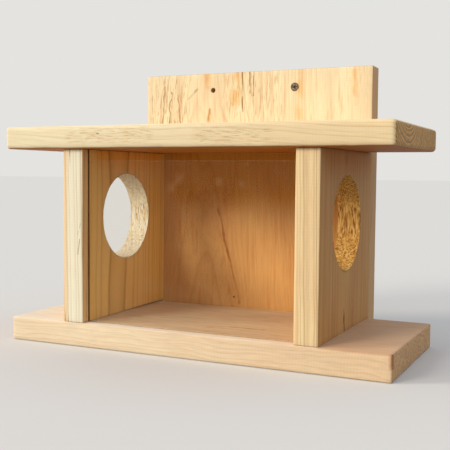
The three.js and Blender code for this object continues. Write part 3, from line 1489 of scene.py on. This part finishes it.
@dataclass
class SideWall(Board):
    """A side wall with its torn entry, the pane's groove and drying splits.

    Attributes:
        ease: how far its arrises are rounded.
        wear: how deep the wear along the arrises goes.
        arris_steps: segments of the rounding.
        inward: 1 where its inner face looks along X, and -1 where it looks the other way.
        entry: its entry.
        groove_front: front of the groove.
        groove_rear: rear of the groove.
        groove_depth: depth of the groove.
        entry_segments: faces round the entry.
        entry_cell: width of a slice of the entry.
        tear: how far the torn fibre stands out and in.
        tuft: size of a tuft along each axis.
        sweep: size of the waves that the bit left.
        splits: its drying splits.
        foot_gap: how far its inner foot stands off the floor at the rear.
        foot_height: how high the foot's points reach.
        foot_width: how wide the gap is.
        foot_run: where along Y the gap opens.
    """

    ease: float = 0.8
    wear: float = 0.35
    arris_steps: int = 3
    inward: int = 1
    entry: Bore = ENTRY
    groove_front: float = -59.05
    groove_rear: float = -56.45
    groove_depth: float = 5.0
    entry_segments: int = 300
    entry_cell: float = 0.85
    tear: float = 0.34
    tuft: Point = (1.2, 1.2, 3.4)
    sweep: float = 6.0
    splits: tuple[Split, ...] = ()
    foot_gap: float = 0.0
    foot_height: float = 1.5
    foot_width: float = 6.0
    foot_run: tuple[float, float] = (-50.0, 45.0)

    def _inner_face(self) -> float:
        """Where its inner face is along X."""
        low, high = box_of(self.node)
        return high.x if self.inward > 0 else low.x

    def _stock(self) -> BMesh:
        """The wall before it is bored.

        Returns:
            A closed mesh whose foot stands off the floor a little on the inner side.
        """
        bm = super()._stock()
        top = box_of(self.node)[0].z + self.foot_height
        inner = self._inner_face()
        for vert in bm.verts:
            if vert.co.z < top:
                share = soft_step(self.foot_width - abs(vert.co.x - inner), 0, self.foot_width - 1)
                vert.co.z += self.foot_gap * share * soft_step(vert.co.y, *self.foot_run)
        return bm

    def _entry(self) -> BMesh:
        """The entry.

        Returns:
            Its cutter, with tufts of torn fibre on its side.
        """
        low, high = box_of(self.node)
        bm = bmesh.new()
        bmesh.ops.create_cone(
            bm,
            cap_ends=True,
            segments=self.entry_segments,
            radius1=self.entry.radius,
            radius2=self.entry.radius,
            depth=high.x - low.x + 2 * OVERRUN,
        )
        slice_evenly(bm, Axis.Z, self.entry_cell)
        bmesh.ops.rotate(bm, matrix=Matrix.Rotation(math.pi / 2, 3, "Y"), verts=bm.verts)
        bmesh.ops.translate(bm, vec=((low.x + high.x) / 2, self.entry.y, self.entry.z), verts=bm.verts)
        for vert in bm.verts:
            out = Vector((0, vert.co.y - self.entry.y, vert.co.z - self.entry.z))
            tuft = noise.noise(Vector([c / size for c, size in zip(vert.co, self.tuft)]))
            sweep = noise.noise(vert.co / self.sweep)
            vert.co += out.normalized() * self.tear * (tuft + 0.4 * sweep)
        return bm

    def _cutters(self) -> list[BMesh]:
        """The cuts of this wall alone.

        Returns:
            The cutters of the entry, the groove and the splits.
        """
        low, high = box_of(self.node)
        inner = self._inner_face()
        left, right = sorted((inner - self.inward * self.groove_depth, inner + self.inward * OVERRUN))
        groove = solid_box(
            Vector((left, self.groove_front, low.z - OVERRUN)),
            Vector((right, self.groove_rear, high.z + OVERRUN)),
        )
        return [self._entry(), groove, *(self._split(split, low, high) for split in self.splits)]

    @staticmethod
    def _split(split: Split, low: Vector, high: Vector) -> BMesh:
        """A split's cutter.

        Args:
            split: the split.
            low: the wall's lowest corner.
            high: its highest corner.

        Returns:
            A closed wedge that narrows away from the board's end.
        """
        mouth, tip = (high.z, high.z - split.length) if split.at_top else (low.z, low.z + split.length)
        start, stop = sorted((mouth + (1 if split.at_top else -1), tip))
        half = split.width / 2
        wedge = solid_box(
            Vector((split.x - half, low.y - 1, start)), Vector((split.x + half, low.y + split.depth, stop))
        )
        slice_evenly(wedge, Axis.Z, 2.0)
        for vert in wedge.verts:
            gaping = SPLIT_TIP + (1 - SPLIT_TIP) * soft_step(abs(vert.co.z - tip) / split.length, 0.0, 1.0)
            narrowed = 1.0 if vert.co.y < low.y else SPLIT_BOTTOM
            bend = SPLIT_BEND * noise.noise(Vector((split.x, 0, vert.co.z / SPLIT_WAVE)))
            vert.co.x = split.x + bend + (vert.co.x - split.x) * gaping * narrowed
        return wedge


@dataclass
class Pane:
    """The clear pane, with the sharpness taken off its edges.

    Attributes:
        node: the CAD node that it replaces.
        ease: how far its edges are rounded.
    """

    node: str = "front_pane"
    ease: float = 0.4

    def build(self) -> Object:
        """Builds and finishes the pane.

        Returns:
            The finished piece.
        """
        mesh = as_mesh(eased_box(*box_of(self.node), self.ease, segments=2), self.node)
        acrylic = ClearAcrylic().material()
        name = f"{self.node}_acrylic"
        return finish_piece(name, mesh, acrylic, Body.PANE, self.node, sharp=15)


@dataclass(frozen=True)
class Lamp:
    """A far lamp.

    Attributes:
        name: its name.
        way: the way from the object to it.
        angle: how wide it looks from the object, in degrees.
        level: how much of a colour's full level it gives a face turned to it.
        colour: its colour.
    """

    name: str
    way: Point
    angle: float
    level: float
    colour: str

    def hang(self) -> None:
        """Adds the lamp to the scene."""
        data = bpy.data.lights.new(self.name, "SUN")
        data.angle = math.radians(self.angle)
        data.energy = self.level * math.pi
        data.color = srgb(self.colour)[:3]
        lamp = bpy.data.objects.new(self.name, data)
        lamp.matrix_world = Vector(self.way).to_track_quat("Z", "Y").to_matrix().to_4x4()
        bpy.context.scene.collection.objects.link(lamp)


@dataclass
class Studio:
    """The pale floor, the soft lamps, the world and the camera.

    Attributes:
        eye: where the camera stands, in metres.
        yaw: how far it turns to the left of straight ahead, in degrees.
        pitch: how far it looks up, in degrees.
        roll: how far it tips, in degrees.
        lens: its focal length for a sensor 36 mm wide.
        lamps: a soft key lamp at the front, and a side lamp on the left.
        sky_level: how much of a colour's full level the world gives.
        floor_size: how wide the floor is, in metres.
        sky: colour of the world's light.
        backdrop: colour of the world as it is seen.
        floor_paint: colour of the floor as it lights the object.
        floor_seen: colour of the floor as it is seen.
    """

    eye: Point = (0.28905, -0.60175, 0.14106)
    yaw: float = 25.28
    pitch: float = -3.56
    roll: float = 0.49
    lens: float = 64.12
    lamps: tuple[Lamp, ...] = (
        Lamp("key_lamp", (-0.58, -1.0, 0.47), angle=22.0, level=0.4, colour="#FFF6E8"),
        Lamp("side_lamp", (-1.73, -1.0, 0.57), angle=16.0, level=0.62, colour="#FFF0DC"),
    )
    sky_level: float = 0.66
    floor_size: float = 60.0
    sky: str = "#F3F6FB"
    backdrop: str = "#E4E3E0"
    floor_paint: str = "#93908B"
    floor_seen: str = "#E7E7E6"

    def camera(self) -> None:
        """Places the camera at the photograph's viewing angle."""
        yaw, pitch, roll = (math.radians(a) for a in (self.yaw, self.pitch, self.roll))
        ahead = Vector((-math.sin(yaw) * math.cos(pitch), math.cos(yaw) * math.cos(pitch), math.sin(pitch)))
        level = Vector((math.cos(yaw), math.sin(yaw), 0))
        upright = level.cross(ahead)
        right = level * math.cos(roll) + upright * math.sin(roll)
        up = upright * math.cos(roll) - level * math.sin(roll)
        data = bpy.data.cameras.new("photo_view")
        data.sensor_width = SENSOR_WIDTH
        data.lens = self.lens
        data.clip_start = NEAREST_SEEN
        camera = bpy.data.objects.new("photo_view", data)
        camera.matrix_world = Matrix.Translation(self.eye) @ Matrix((right, up, -ahead)).transposed().to_4x4()
        bpy.context.scene.collection.objects.link(camera)
        bpy.context.scene.camera = camera

    @staticmethod
    def _seen(add: AddNode) -> Node:
        """1 where the camera sees a surface, also in gloss and through glass, and 0 where it only lights.

        Args:
            add: adds a node to the material or the world.

        Returns:
            The mask.
        """
        path = add("ShaderNodeLightPath").outputs
        straight = add(MATH, HIGHER, {0: path["Is Camera Ray"], 1: path["Is Transmission Ray"]})
        first = add(MATH, {"operation": "LESS_THAN"}, {0: path["Diffuse Depth"], 1: 0.5})
        mirrored = add(MATH, HIGHER, {0: straight, 1: path["Is Glossy Ray"]})
        return add(MATH, TIMES, {0: mirrored, 1: first})

    def world(self) -> None:
        """Gives an even weak sky, which looks pale to the camera and in gloss."""
        world = bpy.data.worlds.new("pale_room")
        bpy.context.scene.world = world
        world.use_nodes = True
        world.node_tree.nodes.clear()
        add = partial(add_node, world.node_tree)
        seen = self._seen(add)
        light = add("ShaderNodeBackground", inputs={"Color": srgb(self.sky), "Strength": self.sky_level})
        pale = add("ShaderNodeBackground", inputs={"Color": srgb(self.backdrop), "Strength": 1.0})
        both = add("ShaderNodeMixShader", inputs={0: seen, 1: light, 2: pale})
        add("ShaderNodeOutputWorld", inputs={"Surface": both})

    def floor(self) -> None:
        """Lays the pale floor just under the object."""
        bm = bmesh.new()
        bmesh.ops.create_grid(bm, x_segments=2, y_segments=2, size=self.floor_size / 2)
        mesh = bpy.data.meshes.new("studio_floor")
        bm.to_mesh(mesh)
        bm.free()
        material, add = new_material("pale_studio_paint")
        seen = self._seen(add)
        plain = add("ShaderNodeBsdfDiffuse", inputs={"Color": srgb(self.floor_paint)})
        bright = add("ShaderNodeBsdfDiffuse", inputs={"Color": srgb(self.floor_seen)})
        both = add("ShaderNodeMixShader", inputs={0: seen, 1: plain, 2: bright})
        add("ShaderNodeOutputMaterial", inputs={"Surface": both})
        mesh.materials.append(material)
        floor = bpy.data.objects.new("studio_floor", mesh)
        bpy.context.scene.collection.objects.link(floor)

    def build(self) -> None:
        """Sets up the whole studio."""
        bpy.context.scene.view_settings.view_transform = "Standard"
        self.camera()
        for lamp in self.lamps:
            lamp.hang()
        self.world()
        self.floor()


def groove_shade(side: int) -> Patch:
    """Painted shade in the pane's groove, where the wood is drawn a darker brown.

    Args:
        side: -1 for the left wall and 1 for the right one.

    Returns:
        The patch.
    """
    return Patch((side * 93.55, -57.75, 90.0), (2.5, 2.0, 90.0), "#B0804E", soft=0.3)


def streaks_on(y: float, *rows: tuple[float, float, float, float, float, str, float]) -> tuple[Streak, ...]:
    """Streaks on a face that looks along Y.

    Args:
        y: the face's place along Y.
        rows: X and Z of the start and of the end, half the width, colour and sway.

    Returns:
        The streaks.
    """
    return tuple(
        Streak((x, y, z), (end_x, y, end_z), width, colour, sway)
        for x, z, end_x, end_z, width, colour, sway in rows
    )


# creamy plain-sawn board, whose wide rings run out in long flames on its top
ROOF_CEDAR = Cedar(
    name="dressed_cedar_roof",
    pith=(0.0, -38.8, 213.0),
    run=(1.0, 0.0, -0.05),
    ring_width=3.1,
    early="#FFF5D2",
    late="#DEB87C",
    blush="#F2D8AE",
    blush_share=0.2,
    amber_share=0.12,
    ends="#DCBA86",
    end_rings=0.6,
    wander=3.0,
    ring_share=0.57,
    fibre_share=0.07,
    # painted shade: the roof grows darker towards its right end
    patches=(Patch((170.0, 0.0, 170.0), (240.0, 400.0, 400.0), "#F4EADD", soft=200.0),),
    frayed=(
        Fray((-62.0, -73.25, 171.0), (42.0, 4.0, 9.0), "#EED5AE", soft=6.0, across=0.6, along=8.0),
        Fray((44.0, -73.25, 170.0), (34.0, 4.0, 9.0), "#EED5AE", soft=6.0, across=0.6, along=8.0),
    ),
    knots=(Knot((-71.8, -73.25, 172.8), (0.35, 0.0, 1.0), 0.5, pull=0.8, reach=4.0, dark=0.6),),
    # painted shade: deeper orange on the underside
    painted_face_shading=(PaintedFaceShading((0, 0, -1), "#C28540"),),
)

# the palest and pinkest board, scuffed on top, with painted shade inside the box and towards the right and a
# painted tone on its lit front
FLOOR_CEDAR = Cedar(
    name="dressed_cedar_floor",
    pith=(0.0, 18.0, -46.0),
    run=(1.0, 0.03, 0.02),
    ring_width=3.1,
    early="#FFF8E4",
    late="#DDB78A",
    blush="#F4D8BC",
    blush_share=0.3,
    ends="#F4D5AF",
    end_rings=0.12,
    ring_share=0.5,
    knife_mark_shading=0.012,
    amber_share=0.08,
    patches=(
        Patch((163.0, -66.75, 15.0), (3.0, 6.0, 6.5), "#E2BC9C", soft=2.5),
        # painted shade: the floor grows darker towards its right end
        Patch((170.0, 0.0, 10.0), (240.0, 400.0, 400.0), "#EFE4DA", soft=200.0),
        # painted shade on the floor inside the box
        Patch((0.0, 8.0, 19.8), (93.0, 66.0, 4.0), "#ECDDCD", soft=3.0),
        # painted shadow of the right wall on the floor beyond it
        Patch((145.0, 0.0, 20.0), (36.0, 90.0, 1.6), "#E6CFBC", soft=1.0),
    ),
    frayed=(Fray((0.0, 0.0, 19.8), (90.0, 60.0, 3.0), "#DCC2A8", soft=6.0, across=1.8, along=30.0),),
    # painted light: a warm tone on the lit front face
    painted_face_shading=(PaintedFaceShading((0, -1, 0), "#FFF7E9"),),
    streaks=(
        Streak((22.0, -24.0, 19.8), (50.0, -24.6, 19.8), 3.4, "#DFC084", face=Axis.Z),
        Streak((6.0, -33.0, 19.8), (48.0, -34.0, 19.8), 2.2, "#E8CC9C", face=Axis.Z),
    ),
)

# pale board with straight fine lines down its front edge; its torn fibre is drawn nearly white, partly its
# own colour and partly painted light where its entry is lit
LEFT_WALL_CEDAR = Cedar(
    name="dressed_cedar_left_wall",
    pith=(-164.0, -14.0, 90.0),
    run=(0.004, 0.02, 1.0),
    ring_width=3.0,
    # torn fibre nearly white: partly its own colour, partly painted light on the lit entry
    torn=("#DEB06C", "#FFF5D0", "#FFFDEC", "#FFFFFA"),
    early="#FFFBE4",
    late="#BE9C62",
    blush="#F0D4A8",
    blush_share=0.1,
    amber_share=0.1,
    fibre_share=0.06,
    ring_share=0.9,
    wander=0.9,
    patches=(
        groove_shade(-1),
        Patch((-111.0, 0.0, 90.0), (6.2, 80.0, 80.0), "#FCE6CA", soft=2.5),
        # painted shade on the inner face's strip in front of the groove
        Patch((-90.9, -62.0, 90.0), (1.2, 4.2, 80.0), "#F4E9FC", soft=0.6),
        # painted shade: deeper orange at the inner top, under the roof
        Patch((-60.0, 5.0, 168.0), (42.0, 60.0, 25.0), "#FFE0A8", soft=14.0),
        Patch((-60.0, 66.0, 100.0), (42.0, 34.0, 100.0), "#FFFBDA", soft=12.0),
    ),
    streaks=streaks_on(
        FRONT_EDGE,
        (-93.2, 100.8, -93.9, 97.0, 0.6, "#8E744C", 0.15),
        (-95.0, 95.0, -95.9, 91.4, 0.5, "#9A8056", 0.15),
        (-93.8, 88.0, -95.0, 76.0, 0.55, "#A08660", 0.5),
    ),
    # painted shading: the inner face deeper orange as shade, the lit outer face toned for its light
    painted_face_shading=(PaintedFaceShading((1, 0, 0), "#FFE3A2"), PaintedFaceShading((-1, 0, 0), "#F8E6C8")),
    bore=ENTRY,
)

# deeper board with tight rings and a small knot below its entry; its torn fibre is drawn golden, partly its
# own colour and partly painted shade
RIGHT_WALL_CEDAR = Cedar(
    name="dressed_cedar_right_wall",
    pith=(48.0, -6.0, 90.0),
    run=(0.008, 0.015, 1.0),
    ring_width=2.3,
    early="#FAE5B4",
    late="#B0854C",
    wander=0.8,
    ring_share=0.95,
    # torn fibre golden and deep: partly its own colour, partly painted shade
    torn=("#9A6028", "#CE9240", "#EEBE62", "#FFDE90"),
    # painted shade: deeper on the inner face and on the shaded outer face
    painted_face_shading=(PaintedFaceShading((-1, 0, 0), "#FCDDA6"), PaintedFaceShading((1, 0, 0), "#D9B58A")),
    knots=(
        Knot((109.9, -4.8, 30.5), (1.0, 1.0, 0.3), 1.3, pull=1.6, reach=7.0, dark=0.85),
        Knot((109.9, -2.8, 20.0), (1.0, 1.0, 0.4), 0.8, pull=0.5, reach=4.0, dark=0.7),
    ),
    patches=(
        groove_shade(1),
        # painted shade: deeper orange at the top of the outer face, under the roof
        Patch((120.0, 20.0, 164.0), (30.0, 85.0, 28.0), "#FFE2A0", soft=16.0),
    ),
    streaks=(
        Streak((109.9, -6.0, 38.0), (109.9, -2.4, 17.0), 2.2, "#9C5C3A", sway=0.3, face=Axis.X),
        Streak((109.9, 17.8, 43.0), (109.9, 17.7, 21.0), 1.4, "#BC8C60", sway=0.3, face=Axis.X),
    ),
    bore=ENTRY,
)

# resinous board: streaked and torn above the roof, with painted shade in deeper orange inside the box and
# under the roof
BACK_CEDAR = Cedar(
    name="dressed_cedar_back",
    pith=(-48.0, 141.75, 60.0),
    run=(0.0, 0.045, 1.0),
    ring_width=2.5,
    early="#FBEEC9",
    late="#CF9550",
    amber_share=0.4,
    ring_share=0.45,
    wander=2.6,
    patches=(
        # painted shade: deeper orange inside the box
        Patch((0.0, 66.75, 90.0), (96.0, 12.0, 76.0), "#F5D299"),
        # painted shade under the roof
        Patch((0.0, -20.0, 141.0), (96.0, 104.75, 37.0), "#FFF1A0", soft=18.0),
    ),
    streaks=streaks_on(
        BACK_FACE,
        (-38.0, 128.0, -11.7, 24.0, 2.0, "#D2A668", 1.2),
        (-10.4, 236.0, -10.1, 199.0, 1.2, "#B48A5C", 0.5),
        (-3.1, 236.0, -2.9, 216.0, 1.1, "#B48A5C", 0.5),
        (0.7, 236.0, 0.8, 213.0, 1.0, "#C09668", 0.5),
        (44.7, 238.0, 45.3, 180.0, 6.0, "#FAE2BC", 1.0),
        (94.3, 238.0, 95.5, 204.0, 4.6, "#FBE4C4", 1.0),
        (-46.0, 238.0, -45.0, 224.0, 7.0, "#FAE2BC", 1.4),
        (-16.0, 238.0, -17.0, 208.0, 9.0, "#F9DFB6", 1.4),
        (-90.6, 224.0, -93.0, 190.0, 1.3, "#CBA578", 1.2),
        (-83.0, 219.0, -85.4, 190.0, 1.2, "#C49C6E", 1.2),
        (-76.8, 216.0, -73.5, 190.0, 1.3, "#CBA578", 1.2),
        (-56.5, 220.0, -66.0, 212.0, 1.8, "#B48A5E", 0.6),
        (-43.0, 201.0, -45.0, 188.0, 2.2, "#E0B67A", 0.8),
    ),
    frayed=(
        Fray((-86.0, 66.75, 203.0), (26.0, 4.0, 34.0), "#C49C68", soft=8.0, across=0.9, along=12.0),
        Fray((0.0, 66.75, 207.0), (34.0, 4.0, 34.0), "#D8B27C", soft=9.0, across=0.9, along=16.0),
        Fray((-50.0, 66.75, 80.0), (42.0, 4.0, 62.0), "#E2BC90", soft=14.0, across=1.4, along=5.0),
    ),
    calm=Patch((85.0, 66.75, 207.0), (38.0, 20.0, 40.0), "#FFFFFF", soft=14.0),
    # painted shade on the right side face
    painted_face_shading=(PaintedFaceShading((1, 0, 0), "#DEC0A4"),),
    knots=(Knot((-17.0, 66.75, 28.9), (1, 0, 1), 0.9, pull=2.0, reach=7.0),),
)


def main() -> None:
    """Builds the feeder house and its studio."""
    logging.basicConfig(level=logging.INFO, format="%(message)s")
    Studio().build()
    fastenings = Fastenings()
    boards = [
        FloorBoard("floor_board", "cedar_floor", FLOOR_CEDAR, ease=1.5, wear=0.45),
        Board("roof_board", "cedar_roof", ROOF_CEDAR, ease=3.0, wear=0.9),
        Board("back_board", "cedar_back", BACK_CEDAR, ease=0.8, wear=0.35, arris_steps=3),
        SideWall(
            "left_side_wall",
            "cedar_wall",
            LEFT_WALL_CEDAR,
            inward=1,
            splits=(
                Split(-103.1, 14.0, at_top=True),
                Split(-108.2, 9.0, at_top=False, width=0.8),
                Split(-105.2, 6.0, at_top=False, width=0.8),
            ),
            foot_gap=1.2,
        ),
        SideWall("right_side_wall", "cedar_wall", RIGHT_WALL_CEDAR, inward=-1),
    ]
    for board in boards:
        board.build(fastenings)
    fastenings.build()
    Pane().build()


if __name__ == "__main__":
    main()
